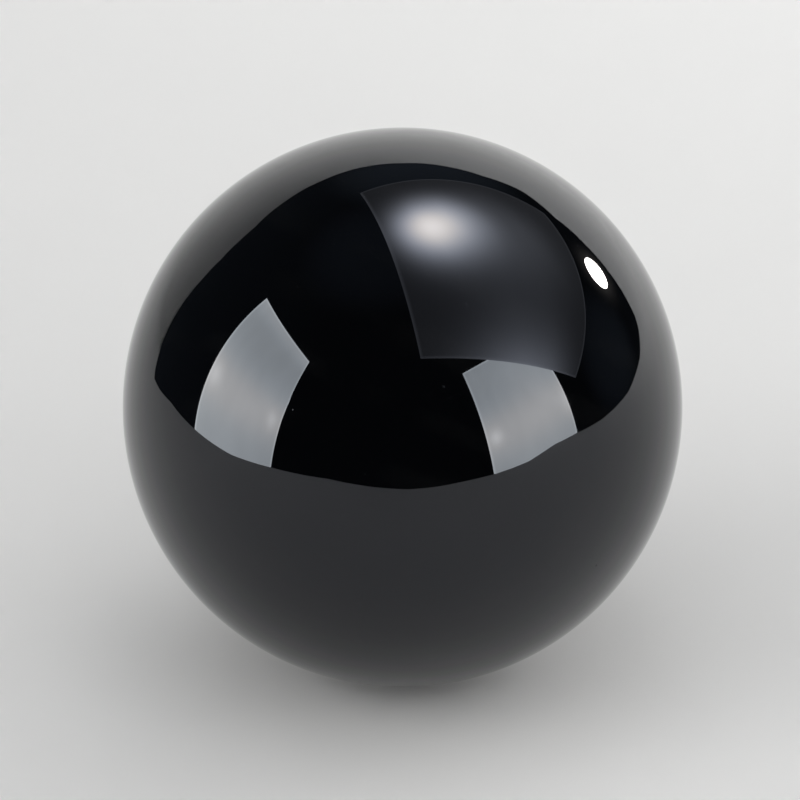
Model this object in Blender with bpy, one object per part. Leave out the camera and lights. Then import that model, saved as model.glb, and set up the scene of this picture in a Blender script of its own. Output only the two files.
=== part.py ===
"""A polished obsidian sphere that rests on a small flat spot.

Metres, +Z up. The origin is the middle of the flat spot, on the surface that the sphere stands on.
The stone is one piece: a ball with a shallow cap ground off its underside and the edge of the
cut just eased, so that it does not chip.
"""

import math

import bmesh
import bpy

SPHERE_RADIUS = 0.040  # ball 80 mm across
FLAT_RADIUS = 0.007  # resting spot 14 mm across
EASED_EDGE = 0.0003  # width taken off each side of the edge around the resting spot

TURN_STEPS = 96  # facets around the ball
ARC_STEPS = 44  # facets from the resting spot's edge up to the top
EASE_STEPS = 3
SMOOTH_BELOW = math.radians(8)  # facets meet at less than this everywhere on the ball
WELD = 1e-6

CENTRE_HEIGHT = math.sqrt(SPHERE_RADIUS**2 - FLAT_RADIUS**2)

POLISHED = {"colour": (0.006, 0.006, 0.0075), "roughness": 0.02}
GROUND = {"colour": (0.012, 0.012, 0.013), "roughness": 0.35}
GLASS_IOR = 1.5


def clear_scene():
    for obj in list(bpy.data.objects):
        bpy.data.objects.remove(obj)


def stone_material(name, finish):
    material = bpy.data.materials.new(name)
    material.use_nodes = True
    shader = material.node_tree.nodes["Principled BSDF"]
    shader.inputs["Base Color"].default_value = (*finish["colour"], 1)
    shader.inputs["Roughness"].default_value = finish["roughness"]
    shader.inputs["Metallic"].default_value = 0
    shader.inputs["IOR"].default_value = GLASS_IOR
    material.diffuse_color = (*finish["colour"], 1)
    return material


def meridian(bm):
    """Half of the ball's outline, from the edge of the resting spot up to the top."""
    lowest = -math.acos(FLAT_RADIUS / SPHERE_RADIUS)
    span = math.pi / 2 - lowest
    verts = []
    for step in range(ARC_STEPS + 1):
        latitude = lowest + span * step / ARC_STEPS
        across = SPHERE_RADIUS * math.cos(latitude)
        height = CENTRE_HEIGHT + SPHERE_RADIUS * math.sin(latitude)
        verts.append(bm.verts.new((across, 0, height)))
    edges = [bm.edges.new(pair) for pair in zip(verts, verts[1:])]
    return verts + edges


def ball_mesh():
    bm = bmesh.new()
    bmesh.ops.spin(
        bm,
        geom=meridian(bm),
        cent=(0, 0, 0),
        axis=(0, 0, 1),
        angle=math.tau,
        steps=TURN_STEPS,
        use_merge=True,
    )
    bmesh.ops.remove_doubles(bm, verts=bm.verts, dist=WELD)

    # the resting spot closes the ring that the turned outline leaves open
    rim = [edge for edge in bm.edges if edge.is_boundary]
    bmesh.ops.contextual_create(bm, geom=rim)
    bmesh.ops.bevel(
        bm,
        geom=rim,
        offset=EASED_EDGE,
        offset_type="OFFSET",
        segments=EASE_STEPS,
        profile=0.5,
        affect="EDGES",
        material=-1,
    )
    bmesh.ops.recalc_face_normals(bm, faces=bm.faces)
    underside = min(bm.faces, key=lambda face: face.calc_center_median().z)
    underside.material_index = 1

    mesh = bpy.data.meshes.new("obsidian_sphere")
    bm.to_mesh(mesh)
    bm.free()
    return mesh


def obsidian_sphere():
    mesh = ball_mesh()
    mesh.materials.append(stone_material("obsidian_polished", POLISHED))
    mesh.materials.append(stone_material("obsidian_ground", GROUND))
    mesh.shade_smooth()
    mesh.set_sharp_from_angle(angle=SMOOTH_BELOW)
    sphere = bpy.data.objects.new("obsidian_sphere", mesh)
    bpy.context.scene.collection.objects.link(sphere)
    return sphere


clear_scene()
obsidian_sphere()
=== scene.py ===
import functools
import math
import random

import bmesh
import bpy
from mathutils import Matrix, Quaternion, Vector, noise


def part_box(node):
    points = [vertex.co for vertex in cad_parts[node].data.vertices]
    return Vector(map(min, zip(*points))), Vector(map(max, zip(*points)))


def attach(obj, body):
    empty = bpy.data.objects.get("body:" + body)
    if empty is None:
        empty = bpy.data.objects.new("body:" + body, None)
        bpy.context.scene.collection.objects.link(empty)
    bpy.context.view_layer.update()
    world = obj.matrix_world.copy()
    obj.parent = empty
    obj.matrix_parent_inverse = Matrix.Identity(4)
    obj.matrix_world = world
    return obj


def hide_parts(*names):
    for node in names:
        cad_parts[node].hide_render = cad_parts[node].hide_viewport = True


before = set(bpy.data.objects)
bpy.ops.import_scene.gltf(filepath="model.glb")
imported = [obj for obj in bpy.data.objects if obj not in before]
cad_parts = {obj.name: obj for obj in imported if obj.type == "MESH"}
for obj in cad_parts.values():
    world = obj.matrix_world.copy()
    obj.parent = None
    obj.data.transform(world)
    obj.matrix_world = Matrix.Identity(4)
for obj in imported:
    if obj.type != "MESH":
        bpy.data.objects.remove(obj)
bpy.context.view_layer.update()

# the CAD ball gives this one its size and place
lowCorner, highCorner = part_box("obsidian_sphere")
ballRadius = (highCorner.x - lowCorner.x) / 2
ballCentre = Vector((0, 0, highCorner.z - ballRadius))
flatRadius = math.sqrt(ballRadius**2 - ballCentre.z**2)


def heading(azimuth, elevation):
    # direction from the ball: azimuth 0 is towards the camera, 90 to its right
    turn, tilt = math.radians(azimuth), math.radians(elevation)
    level = math.cos(tilt)
    return Vector((math.sin(turn) * level, -math.cos(turn) * level, math.sin(tilt)))


def newObject(name, bm, materials):
    mesh = bpy.data.meshes.new(name)
    bm.to_mesh(mesh)
    bm.free()
    for material in materials:
        mesh.materials.append(material)
    obj = bpy.data.objects.new(name, mesh)
    bpy.context.scene.collection.objects.link(obj)
    return obj


def startMaterial(name):
    material = bpy.data.materials.new(name)
    material.use_nodes = True
    return material, material.node_tree


def put(tree, kind, inputs, **settings):
    # adds a node; an input is a plain value or the socket that feeds it
    node = tree.nodes.new("ShaderNode" + kind)
    for setting, value in settings.items():
        setattr(node, setting, value)
    for socket, value in inputs.items():
        if isinstance(value, bpy.types.NodeSocket):
            tree.links.new(value, node.inputs[socket])
        else:
            node.inputs[socket].default_value = value
    return node


def plus(tree, a, b):
    return put(tree, "Math", {0: a, 1: b}, operation="ADD").outputs[0]


def times(tree, a, b):
    return put(tree, "Math", {0: a, 1: b}, operation="MULTIPLY").outputs[0]


def ramp(tree, value, low, high, outLow=0.0, outHigh=1.0):
    # smooth step from outLow at low to outHigh at high
    node = put(
        tree,
        "MapRange",
        {"Value": value, "From Min": low, "From Max": high, "To Min": outLow, "To Max": outHigh},
        interpolation_type="SMOOTHSTEP",
    )
    return node.outputs["Result"]


# Polished stone

polish = {
    "darkColour": (0.0005, 0.0005, 0.0006, 1),
    "smokeColour": (0.0018, 0.0018, 0.0018, 1),
    "bandTilt": (0.5, -0.35, 0.2),  # how the old lava flow lies in the ball, radians
    "bandScale": 34,
    "bandWander": 0.012,  # metres that the bands drift sideways
    "bandDistortion": 3,
    "bandDetail": 3,
    "driftDetail": 2,
    "bandShow": (0.55, 1.0),  # wave heights between which a band turns smoky
    "cloudShow": (0.42, 0.62),  # noise levels between which the clouds let a band show
    "ior": 1.5,
    "paintedCoolReflectionTint": (0.885, 0.915, 1, 1),  # painted reflection tint: the black glass mirrors a little cooler than what it faces, standing in for the cool shade light on the surfaces it mirrors
    "roughness": (0.004, 0.026),  # clearest and haziest polish
    "hazeScale": 45,
    "hazeDetail": 4,
    "hazeShow": (0.35, 0.7),  # noise levels of the clearest and the haziest polish
    "pinholeCell": 0.0026,  # metres between the cells that may hold a pinhole
    "pinholeScatter": 0.9,
    "pinholeShare": 0.035,  # share of the cells that hold a pinhole
    "pinholeSize": 0.045,  # radius as a share of the cell
    "pinholeDepth": 0.00002,
    "pinholeRoughness": 0.4,
    "hairlineScale": 900,
    "hairlineDetail": 2,
    "hairlineStretch": 0.06,  # scale along the hairs, as a share of that across
    "hairlineDepth": 0.0000001,
}


def polishedObsidian():
    material, tree = startMaterial("obsidianPolished")
    shader = tree.nodes["Principled BSDF"]
    place = put(tree, "TexCoord", {}).outputs["Object"]
    centred = put(tree, "Mapping", {"Vector": place, "Location": -ballCentre}).outputs[0]

    # smoky flow bands that drift through the black glass
    tilted = put(tree, "Mapping", {"Vector": centred, "Rotation": polish["bandTilt"]}).outputs[0]
    drift = put(
        tree,
        "TexNoise",
        {"Vector": tilted, "Scale": polish["bandScale"], "Detail": polish["driftDetail"]},
    )
    shift = put(
        tree,
        "VectorMath",
        {0: drift.outputs["Color"], 1: (polish["bandWander"],) * 3, 2: tilted},
        operation="MULTIPLY_ADD",
    )
    layers = put(
        tree,
        "TexWave",
        {
            "Vector": shift.outputs[0],
            "Scale": polish["bandScale"],
            "Distortion": polish["bandDistortion"],
            "Detail": polish["bandDetail"],
        },
        bands_direction="Z",
    )
    clouds = put(
        tree,
        "TexNoise",
        {"Vector": centred, "Scale": polish["hazeScale"], "Detail": polish["hazeDetail"]},
    )
    smoke = times(
        tree,
        ramp(tree, layers.outputs["Fac"], *polish["bandShow"]),
        ramp(tree, clouds.outputs["Fac"], *polish["cloudShow"]),
    )
    colour = put(
        tree,
        "Mix",
        {"Factor": smoke, "A": polish["darkColour"], "B": polish["smokeColour"]},
        data_type="RGBA",
    )
    tree.links.new(colour.outputs["Result"], shader.inputs["Base Color"])

    # pinholes where tiny bubbles were cut open
    cells = put(
        tree,
        "TexVoronoi",
        {
            "Vector": centred,
            "Scale": 1 / polish["pinholeCell"],
            "Randomness": polish["pinholeScatter"],
        },
    )
    pick = put(tree, "SeparateColor", {"Color": cells.outputs["Color"]}).outputs["Red"]
    chosen = put(tree, "Math", {0: pick, 1: polish["pinholeShare"]}, operation="LESS_THAN").outputs[0]
    bowl = ramp(tree, cells.outputs["Distance"], 0, polish["pinholeSize"], 1, 0)
    pinholes = times(tree, bowl, chosen)

    # hairlines left by the last round of polishing
    along = (1, polish["hairlineStretch"], 1)
    stretched = put(tree, "Mapping", {"Vector": tilted, "Scale": along}).outputs[0]
    hairs = put(
        tree,
        "TexNoise",
        {
            "Vector": stretched,
            "Scale": polish["hairlineScale"],
            "Detail": polish["hairlineDetail"],
        },
    )

    haze = ramp(tree, clouds.outputs["Fac"], *polish["hazeShow"], *polish["roughness"])
    roughness = plus(tree, haze, times(tree, pinholes, polish["pinholeRoughness"]))
    tree.links.new(roughness, shader.inputs["Roughness"])

    holes = put(
        tree,
        "Bump",
        {"Height": pinholes, "Distance": polish["pinholeDepth"], "Strength": 1},
        invert=True,
    )
    lines = put(
        tree,
        "Bump",
        {
            "Height": hairs.outputs["Fac"],
            "Distance": polish["hairlineDepth"],
            "Strength": 1,
            "Normal": holes.outputs[0],
        },
    )
    tree.links.new(lines.outputs[0], shader.inputs["Normal"])
    shader.inputs["IOR"].default_value = polish["ior"]
    # painted reflection tint: cools everything the glass mirrors, standing in for cool shade light
    shader.inputs["Specular Tint"].default_value = polish["paintedCoolReflectionTint"]
    return material


# Ground flat underneath

grinding = {
    "colour": (0.009, 0.009, 0.0095, 1),
    "paleColour": (0.022, 0.022, 0.023, 1),
    "wearScale": 320,
    "colourShow": (0.4, 0.7),  # wear levels between which the pale colour comes in
    "roughness": (0.3, 0.48),
    "roughShow": (0.35, 0.65),  # wear levels of the smoothest and the coarsest patches
    "grainScale": 2600,
    "grainDepth": 0.000012,
    "detail": 3,
}


def groundObsidian():
    material, tree = startMaterial("obsidianGround")
    shader = tree.nodes["Principled BSDF"]
    place = put(tree, "TexCoord", {}).outputs["Object"]
    pattern = {"Vector": place, "Detail": grinding["detail"]}
    grain = put(tree, "TexNoise", {**pattern, "Scale": grinding["grainScale"]})
    wear = put(tree, "TexNoise", {**pattern, "Scale": grinding["wearScale"]})
    colour = put(
        tree,
        "Mix",
        {
            "Factor": ramp(tree, wear.outputs["Fac"], *grinding["colourShow"]),
            "A": grinding["colour"],
            "B": grinding["paleColour"],
        },
        data_type="RGBA",
    )
    tree.links.new(colour.outputs["Result"], shader.inputs["Base Color"])
    roughness = ramp(tree, wear.outputs["Fac"], *grinding["roughShow"], *grinding["roughness"])
    tree.links.new(roughness, shader.inputs["Roughness"])
    bump = put(
        tree,
        "Bump",
        {"Height": grain.outputs["Fac"], "Distance": grinding["grainDepth"], "Strength": 1},
    )
    tree.links.new(bump.outputs[0], shader.inputs["Normal"])
    shader.inputs["IOR"].default_value = polish["ior"]
    return material


# Ball

ball = {
    "turnSteps": 360,
    "arcSteps": 168,  # from the top down to the flat
    "easedEdge": 0.0003,  # width taken off each side of the flat's edge
    "easeSteps": 6,
    "weld": 0.000001,
    "waveDepth": 0.000005,  # how far hand polishing strays from a true ball
    "waveLength": 0.016,
    "waveFade": 0.004,  # height above the flat below which the waves die out
}

pits = {
    # azimuth and elevation on the ball, half length, and depth as a share of the half length
    "seen": [
        (44.7, -16.3, 0.0002, 0.35),
        (18.3, 45.8, 0.00017, 0.13),
        (9.4, 29.8, 0.00016, 0.3),
        (-24.2, 23.6, 0.00008, 0.15),
    ],
    "others": 11,
    "sizes": (0.00007, 0.00013),
    "seed": 5,
    "lowest": -0.55,  # sine of the lowest elevation
    "highest": 0.85,  # sine of the highest
    "slimness": (0.55, 0.9),
    "depths": (0.06, 0.3),
    "refine": (12, 7, 4.5, 3),  # reach of each finer round, in half lengths
}


def turnBall(bm):
    # the top point swings down to the flat's edge, and the arc that it draws is turned into the ball
    top = bm.verts.new(ballCentre + Vector((0, 0, ballRadius)))
    swing = math.pi / 2 + math.acos(flatRadius / ballRadius)
    bmesh.ops.spin(
        bm, geom=[top], cent=ballCentre, axis=(0, 1, 0), angle=swing, steps=ball["arcSteps"]
    )
    bmesh.ops.spin(
        bm,
        geom=bm.verts[:] + bm.edges[:],
        cent=ballCentre,
        axis=(0, 0, 1),
        angle=math.tau,
        steps=ball["turnSteps"],
        use_merge=True,
    )
    bmesh.ops.remove_doubles(bm, verts=bm.verts, dist=ball["weld"])


def grindFlat(bm):
    # closes the ring at the foot, eases its edge and returns the flat's own faces
    rim = [edge for edge in bm.edges if edge.is_boundary]
    for edge in rim:
        for vert in edge.verts:
            vert.co.z = 0
    bmesh.ops.contextual_create(bm, geom=rim)
    bmesh.ops.bevel(
        bm,
        geom=rim,
        offset=ball["easedEdge"],
        offset_type="OFFSET",
        segments=ball["easeSteps"],
        profile=0.5,
        affect="EDGES",
        material=-1,
    )
    flat = min(bm.faces, key=lambda face: face.calc_center_median().z)
    return bmesh.ops.poke(bm, faces=[flat])["faces"]


def refinePit(bm, spot, size):
    # each round halves the facets nearer the pit and puts the new points on the ball
    near = bm.faces
    for reach in pits["refine"]:
        near = [face for face in near if (face.calc_center_median() - spot).length < reach * size]
        edges = {edge for face in near for edge in face.edges}
        made = bmesh.ops.subdivide_edges(bm, edges=list(edges), cuts=1, use_grid_fill=True)["geom"]
        points = [part for part in made if isinstance(part, bmesh.types.BMVert)]
        for point in points:
            point.co = ballCentre + (point.co - ballCentre).normalized() * ballRadius
        near = {face for point in points for face in point.link_faces}
    return {vert for face in near for vert in face.verts}


def sinkPit(bm, azimuth, elevation, size, depth, slim, turn):
    # an oval bowl: its depth falls off with the square of the distance from its middle
    outward = heading(azimuth, elevation)
    spot = ballCentre + outward * ballRadius
    points = refinePit(bm, spot, size)
    along = outward.orthogonal().normalized()
    along.rotate(Quaternion(outward, turn))
    across = outward.cross(along)
    for point in points:
        offset = point.co - spot
        reach = math.hypot(offset.dot(along) / size, offset.dot(across) / (size * slim))
        if reach < 1:
            point.co -= outward * size * depth * (1 - reach**2)


def sinkPits(bm):
    chance = random.Random(pits["seed"])
    spots = list(pits["seen"])
    for _ in range(pits["others"]):
        height = chance.uniform(pits["lowest"], pits["highest"])
        azimuth = chance.uniform(-180, 180)
        size, depth = chance.uniform(*pits["sizes"]), chance.uniform(*pits["depths"])
        spots.append((azimuth, math.degrees(math.asin(height)), size, depth))
    for spot in spots:
        sinkPit(bm, *spot, chance.uniform(*pits["slimness"]), chance.uniform(0, math.pi))


def wavePolish(bm):
    # moves the surface inwards only, so the ball stays inside its size
    for vert in bm.verts:
        outward = vert.co - ballCentre
        stray = (1 + noise.noise(outward / ball["waveLength"])) / 2  # from 0 to 1
        fade = min(1, vert.co.z / ball["waveFade"])
        vert.co -= outward.normalized() * ball["waveDepth"] * stray * fade


def makeBall():
    bm = bmesh.new()
    turnBall(bm)
    bmesh.ops.recalc_face_normals(bm, faces=bm.faces)
    sinkPits(bm)
    wavePolish(bm)
    ground = grindFlat(bm)
    bmesh.ops.recalc_face_normals(bm, faces=bm.faces)
    for face in bm.faces:
        face.smooth = True
    for face in ground:
        face.smooth = False
        face.material_index = 1
    piece = newObject("polished_ball", bm, [polishedObsidian(), groundObsidian()])
    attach(piece, "root")
    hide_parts("obsidian_sphere")
    return piece


polishedBall = makeBall()
print("ball made:", len(polishedBall.data.polygons), "facets")


# Pale floor that curves up into a wall all round

studio = {
    "wallRadius": 1.6,
    "coveRadius": 0.5,
    "wallTop": 1.7,
    "turnSteps": 180,
    "rows": 48,
    "weld": 0.00001,
    "halvings": 30,  # rounds in the search for the edge
    "colour": (0.801, 0.798, 0.791, 1),
    "roughness": 0.9,
    "gloss": 0.15,
    # the edge of the pale surface as the ball mirrors it: azimuth and elevation from the ball
    "edge": [
        (-180, 36),
        (-158, 35.5),
        (-147, 33.8),
        (-136, 30.8),
        (-132.8, 28.4),
        (-128, 22.5),
        (-125.6, 14.5),
        (-124.8, -1.4),
        (-121, -4.6),
        (-118.6, -6.6),
        (-112, -6.3),
        (-104, -5.4),
        (-90, -5.5),
        (-68, -5.9),
        (-50, -4.9),
        (-28, -4.2),
        (-12, -5.1),
        (2, -5.6),
        (12, -5.2),
        (24, -4.3),
        (36, -3.7),
        (50, -2.7),
        (62, -0.6),
        (72, -0.7),
        (86, -2.0),
        (104, -2.5),
        (119, -1.5),
        (127.5, 1.3),
        (130.5, 8),
        (131.5, 10.5),
        (135.5, 18),
        (142, 25),
        (152, 27.3),
        (160, 32.5),
        (169, 34.6),
        (176, 35.4),
        (180, 36),
    ],
}


def profilePoint(run):
    # radius and height at a distance along the floor, up the cove and up the wall
    flatRun = studio["wallRadius"] - studio["coveRadius"]
    coveRun = studio["coveRadius"] * math.pi / 2
    if run < flatRun:
        return run, 0
    if run < flatRun + coveRun:
        bend = (run - flatRun) / studio["coveRadius"]
        radius = flatRun + studio["coveRadius"] * math.sin(bend)
        return radius, studio["coveRadius"] * (1 - math.cos(bend))
    return studio["wallRadius"], studio["coveRadius"] + run - flatRun - coveRun


fullRun = (
    studio["wallRadius"]
    - studio["coveRadius"]
    + studio["coveRadius"] * math.pi / 2
    + studio["wallTop"]
    - studio["coveRadius"]
)


def edgeElevation(azimuth):
    # straight runs from one point of the edge to the next
    for (startAzimuth, start), (endAzimuth, end) in zip(studio["edge"], studio["edge"][1:]):
        if azimuth <= endAzimuth:
            break
    share = (azimuth - startAzimuth) / (endAzimuth - startAzimuth)
    return start + (end - start) * share


@functools.cache
def edgeRun(azimuth):
    # halves the run until its point stands at the edge's elevation
    low, high = 0.0, fullRun
    for _ in range(studio["halvings"]):
        run = (low + high) / 2
        radius, height = profilePoint(run)
        if math.degrees(math.atan2(height - ballCentre.z, radius)) < edgeElevation(azimuth):
            low = run
        else:
            high = run
    return run


def paleSurface(name, material, outer):
    # a square grid wrapped round the ball: the inner one ends at the edge, where the outer one starts
    bm = bmesh.new()
    bmesh.ops.create_grid(bm, x_segments=studio["turnSteps"], y_segments=studio["rows"], size=0.5)
    for vert in bm.verts:
        azimuth = vert.co.x * 360
        share = vert.co.y + 0.5  # 0 where the run starts, 1 where it ends
        edge = edgeRun(azimuth)
        run = edge + (fullRun - edge) * share if outer else edge * share
        radius, height = profilePoint(run)
        vert.co = heading(azimuth, 0) * radius + Vector((0, 0, height))
    bmesh.ops.remove_doubles(bm, verts=bm.verts, dist=studio["weld"])
    for face in bm.faces:
        face.smooth = True
    surface = newObject(name, bm, [material])
    return surface


def paleMaterial():
    material, tree = startMaterial("palePaper")
    shader = tree.nodes["Principled BSDF"]
    shader.inputs["Base Color"].default_value = studio["colour"]
    shader.inputs["Roughness"].default_value = studio["roughness"]
    shader.inputs["Specular IOR Level"].default_value = studio["gloss"]
    return material


paper = paleMaterial()
paleFloor = paleSurface("pale_floor", paper, outer=False)
paleSurround = paleSurface("pale_surround", paper, outer=True)
paleSurround.visible_glossy = False  # the ball mirrors the dark room past the edge
print("floor and wall made")


# Soft lamps: a panel with the lamp's pattern that the ball mirrors, and an even light for the rest

softBox = {
    "size": (0.9, 1.2),
    "dim": 5.12,
    "coolTint": (0.946, 1.0, 1.006, 1),
    "warmTint": (1.02, 1.0, 0.951, 1),
    "warmFrom": (0.65, 3.3),  # glow at which the tint starts to warm, and at which it is warm
    # x, y, width, height, brightness of each glow, in metres from the panel's middle
    "glows": [
        (0, -0.08, 3.0, 0.2, 1.85),
        (0, -0.25, 3.0, 0.45, 1.3),
    ],
    "hem": (0.026, 2.3),  # width and extra brightness of the sewn edge
    "creases": 0.035,  # how much the brightness wanders across the panel
}

lamps = {
    "left_softbox": {
        **softBox,
        "centre": (-1.12, -0.43, 0.354),  # from the ball's middle
        "back": (-83, 10),  # azimuth and elevation in which the panel's back points
        "roll": 0,
        "glows": [
            *softBox["glows"],
            (0, 0.58, 3.0, 0.1, 1.5),
            (0.38, -0.09, 0.07, 0.08, 2.4),
            (-0.34, -0.1, 0.06, 0.08, 1.75),
        ],
        "even": 2.2,
    },
    "right_softbox": {
        **softBox,
        "centre": (1.01, -0.735, 0.355),
        "back": (43, 4),
        "roll": -6.6,
        "glows": [
            *softBox["glows"],
            (-0.1, 0.3, 0.35, 0.3, 1.0),
            (0.36, -0.11, 0.055, 0.065, 3.0),
            (-0.43, -0.12, 0.06, 0.12, 1.75),
        ],
        "even": 1.2,
    },
    "overhead_scrim": {
        "size": (1.05, 1.25),
        "dim": 0.207,
        "coolTint": (0.957, 1.0, 1.1, 1),
        "warmTint": (1.07, 1.0, 0.924, 1),
        "warmFrom": (2.2, 14.2),
        "glows": [
            (0.34, 0.03, 0.1, 0.13, 10.1),
            (0.265, 0.08, 0.145, 0.177, 7.5),
            (0.07, 0.07, 0.31, 0.29, 0.84),
            (-0.05, -1.2, 0.29, 0.46, 10.9),
        ],
        "hem": (0.02, 0.33),
        "creases": 0.04,
        "centre": (0.421, 0.222, 0.597),
        "back": (53, 68),
        "roll": 36,
        "even": 0.4,
    },
}

creasing = {
    "scale": (3.2, 1.5, 1),  # across and along the panel
    "detail": 2.5,
    "wander": 0.8,
    "show": (0.3, 0.7),  # noise levels of the darkest and the brightest crease
}


def glowSum(tree, place, lamp):
    # each glow falls off as a bell curve round its middle
    total = lamp["dim"]
    for x, y, width, height, brightness in lamp["glows"]:
        offset = put(
            tree,
            "Mapping",
            {
                "Vector": place,
                "Location": (-x / width, -y / height, 0),
                "Scale": (1 / width, 1 / height, 0),
            },
        ).outputs[0]
        reach = put(tree, "VectorMath", {0: offset, 1: offset}, operation="DOT_PRODUCT")
        fall = put(tree, "Math", {0: 1 / math.e, 1: reach.outputs["Value"]}, operation="POWER")
        total = plus(tree, times(tree, fall.outputs[0], brightness), total)
    return total


def hemGlow(tree, place, lamp):
    # brightness along the panel's edge
    width, extra = lamp["hem"]
    across = put(tree, "VectorMath", {0: place}, operation="ABSOLUTE").outputs[0]
    corner = (lamp["size"][0] / 2 - width, lamp["size"][1] / 2 - width, 0)
    past = put(tree, "VectorMath", {0: across, 1: corner}, operation="SUBTRACT").outputs[0]
    sides = put(tree, "SeparateXYZ", {0: past})
    nearest = put(tree, "Math", {0: sides.outputs["X"], 1: sides.outputs["Y"]}, operation="MAXIMUM")
    return times(tree, ramp(tree, nearest.outputs[0], 0, width), extra)


def creaseGlow(tree, place, lamp):
    # long soft creases that dim and brighten the panel a little
    stretched = put(tree, "Mapping", {"Vector": place, "Scale": creasing["scale"]}).outputs[0]
    waves = put(
        tree,
        "TexNoise",
        {
            "Vector": stretched,
            "Scale": 1,
            "Detail": creasing["detail"],
            "Distortion": creasing["wander"],
        },
    )
    spread = lamp["creases"]
    return ramp(tree, waves.outputs["Fac"], *creasing["show"], 1 - spread, 1 + spread)


def glowMaterial(name, lamp, seeThrough=False):
    material, tree = startMaterial(name)
    tree.nodes.remove(tree.nodes["Principled BSDF"])
    place = put(tree, "TexCoord", {}).outputs["Object"]
    strength = glowSum(tree, place, lamp)
    low, high = lamp["warmFrom"]
    warmth = ramp(tree, strength, lamp["dim"] + low, lamp["dim"] + high)
    tint = put(
        tree,
        "Mix",
        {"Factor": warmth, "A": lamp["coolTint"], "B": lamp["warmTint"]},
        data_type="RGBA",
    )
    if "hem" in lamp:  # a bare lamp has no diffuser in front
        strength = times(tree, strength, creaseGlow(tree, place, lamp))
        strength = plus(tree, strength, hemGlow(tree, place, lamp))
    light = put(tree, "Emission", {"Color": tint.outputs["Result"], "Strength": strength})
    if seeThrough:
        clear = put(tree, "BsdfTransparent", {})
        light = put(tree, "AddShader", {0: light.outputs[0], 1: clear.outputs[0]})
    tree.links.new(light.outputs[0], tree.nodes["Material Output"].inputs["Surface"])
    return material


def aim(obj, lamp):
    # the front, its +Z, points away from where the back does
    obj.location = ballCentre + Vector(lamp["centre"])
    obj.rotation_mode = "QUATERNION"
    front = (-heading(*lamp["back"])).to_track_quat("Z", "Y")
    obj.rotation_quaternion = front @ Quaternion((0, 0, 1), math.radians(lamp["roll"]))


def makeLamp(name, lamp):
    bm = bmesh.new()
    bmesh.ops.create_grid(bm, x_segments=1, y_segments=1, size=0.5)
    bmesh.ops.scale(bm, vec=(*lamp["size"], 1), verts=bm.verts)
    panel = newObject(name, bm, [glowMaterial(name, lamp)])
    aim(panel, lamp)
    panel.visible_camera = False
    panel.visible_diffuse = False
    panel.visible_shadow = False

    # the light for the rest, left out of the reflections, is as bright as a panel of strength "even"
    light = bpy.data.lights.new(name + "_light", "AREA")
    light.shape = "RECTANGLE"
    light.size, light.size_y = lamp["size"]
    light.energy = math.pi * light.size * light.size_y * lamp["even"]
    spread = bpy.data.objects.new(name + "_light", light)
    bpy.context.scene.collection.objects.link(spread)
    aim(spread, lamp)
    spread.rotation_quaternion @= Quaternion((1, 0, 0), math.pi)  # an area light shines down its -Z
    spread.visible_camera = False
    spread.visible_glossy = False


for name, lamp in lamps.items():
    makeLamp(name, lamp)

bareLamp = {
    "centre": (0.938, 0.678, 0.392),
    "back": (125.8, 18),
    "roll": 0,
    "tint": (1.05, 0.98, 0.9, 1),
    "discRadius": 0.089,
    "sides": 64,  # of both round panels
    "discBrightness": 65,
    "haloRadius": 0.3,
    "haloWidth": 0.1,
    "haloBrightness": 0.55,
    "haloStep": 0.01,  # metres that the halo stands behind the disc
}


def makeBareLamp():
    recipe = {
        "coolTint": bareLamp["tint"],
        "warmTint": bareLamp["tint"],
        "warmFrom": (0, 1),
    }
    disc = {**recipe, "dim": bareLamp["discBrightness"], "glows": []}
    width = bareLamp["haloWidth"]
    halo = {**recipe, "dim": 0, "glows": [(0, 0, width, width, bareLamp["haloBrightness"])]}
    makeDisc("bare_lamp", disc, bareLamp["discRadius"], 0, seeThrough=False)
    makeDisc("bare_lamp_halo", halo, bareLamp["haloRadius"], -bareLamp["haloStep"], seeThrough=True)


def makeDisc(name, recipe, radius, step, seeThrough):
    bm = bmesh.new()
    bmesh.ops.create_circle(bm, cap_ends=True, segments=bareLamp["sides"], radius=radius)
    bmesh.ops.translate(bm, vec=(0, 0, step), verts=bm.verts)
    panel = newObject(name, bm, [glowMaterial(name, recipe, seeThrough)])
    aim(panel, bareLamp)
    panel.visible_camera = False
    panel.visible_diffuse = False
    panel.visible_shadow = False


makeBareLamp()

# lights for the floor and the walls, left out of the reflections; a round one's size is its width
fills = {
    "overhead_fill": {"place": (-0.28, 0.2, 1.2), "size": 1.2, "power": 4.4},
    "front_fill": {"place": (-0.1, -0.3, 0.6), "size": 0.8, "power": 4.0},
    "wall_wash": {
        "place": (0.5, 0.2, 1.3),
        "size": (1.6, 0.5),
        "power": 20,
        "facing": (150, -26),  # azimuth and elevation in which it shines
        "spread": 160,  # degrees
    },
}


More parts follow.
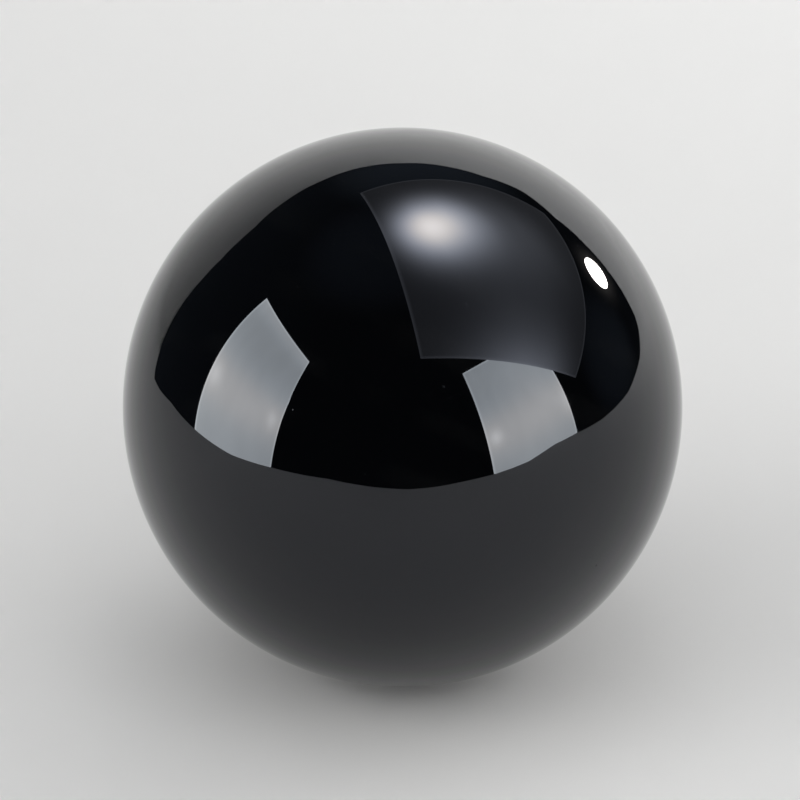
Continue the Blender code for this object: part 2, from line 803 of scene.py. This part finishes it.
def makeFill(name, fill):
    # one with a facing is a flat panel, and the rest are round and shine all ways
    if "facing" in fill:
        light = bpy.data.lights.new(name, "AREA")
        light.shape = "RECTANGLE"
        light.size, light.size_y = fill["size"]
        light.spread = math.radians(fill["spread"])
    else:
        light = bpy.data.lights.new(name, "POINT")
        light.shadow_soft_size = fill["size"] / 2
    light.energy = fill["power"]
    glow = bpy.data.objects.new(name, light)
    bpy.context.scene.collection.objects.link(glow)
    glow.location = fill["place"]
    if "facing" in fill:
        glow.rotation_mode = "QUATERNION"
        glow.rotation_quaternion = heading(*fill["facing"]).to_track_quat("-Z", "Y")
    glow.visible_camera = False
    glow.visible_glossy = False


for name, fill in fills.items():
    makeFill(name, fill)

room = {
    "colour": (0.016, 0.0196, 0.025, 1),
    # lighter parts: azimuth, elevation, cosine of the angle at which the lift ends, extra brightness
    "lifts": [(172, 45, 0.9, 4.2), (-100, 82, 0.86, 2.6), (-120, 20, 0.3, 0.8), (103, 10, 0.94, 3.0)],
}


def darkRoom():
    world = bpy.data.worlds.new("darkRoom")
    bpy.context.scene.world = world
    world.use_nodes = True
    tree = world.node_tree
    background = tree.nodes["Background"]
    background.inputs["Color"].default_value = room["colour"]
    look = put(tree, "TexCoord", {}).outputs["Generated"]
    brightness = 1.0
    for azimuth, elevation, end, extra in room["lifts"]:
        towards = heading(azimuth, elevation)
        share = put(tree, "VectorMath", {0: look, 1: towards}, operation="DOT_PRODUCT")
        brightness = plus(tree, ramp(tree, share.outputs["Value"], end, 1, 0, extra), brightness)
    tree.links.new(brightness, background.inputs["Strength"])


darkRoom()
print("lamps and dark room made")


# Camera at the photograph's viewing angle

shot = {
    "elevation": 26,
    "distance": 0.8,
    "lens": 251.7,
    "aimRight": -0.00036,  # the picture's middle, from the ball's middle
    "aimUp": 0.00104,
    "clipStart": 0.01,
}


def makeCamera():
    camera = bpy.data.objects.new("camera", bpy.data.cameras.new("camera"))
    bpy.context.scene.collection.objects.link(camera)
    back = heading(0, shot["elevation"])
    up = heading(180, 90 - shot["elevation"])
    target = ballCentre + Vector((shot["aimRight"], 0, 0)) + up * shot["aimUp"]
    camera.location = target + back * shot["distance"]
    camera.rotation_mode = "QUATERNION"
    camera.rotation_quaternion = back.to_track_quat("Z", "Y")
    camera.data.lens = shot["lens"]
    camera.data.clip_start = shot["clipStart"]
    bpy.context.scene.camera = camera


makeCamera()
bpy.context.scene.view_settings.view_transform = "Standard"
print("camera placed")
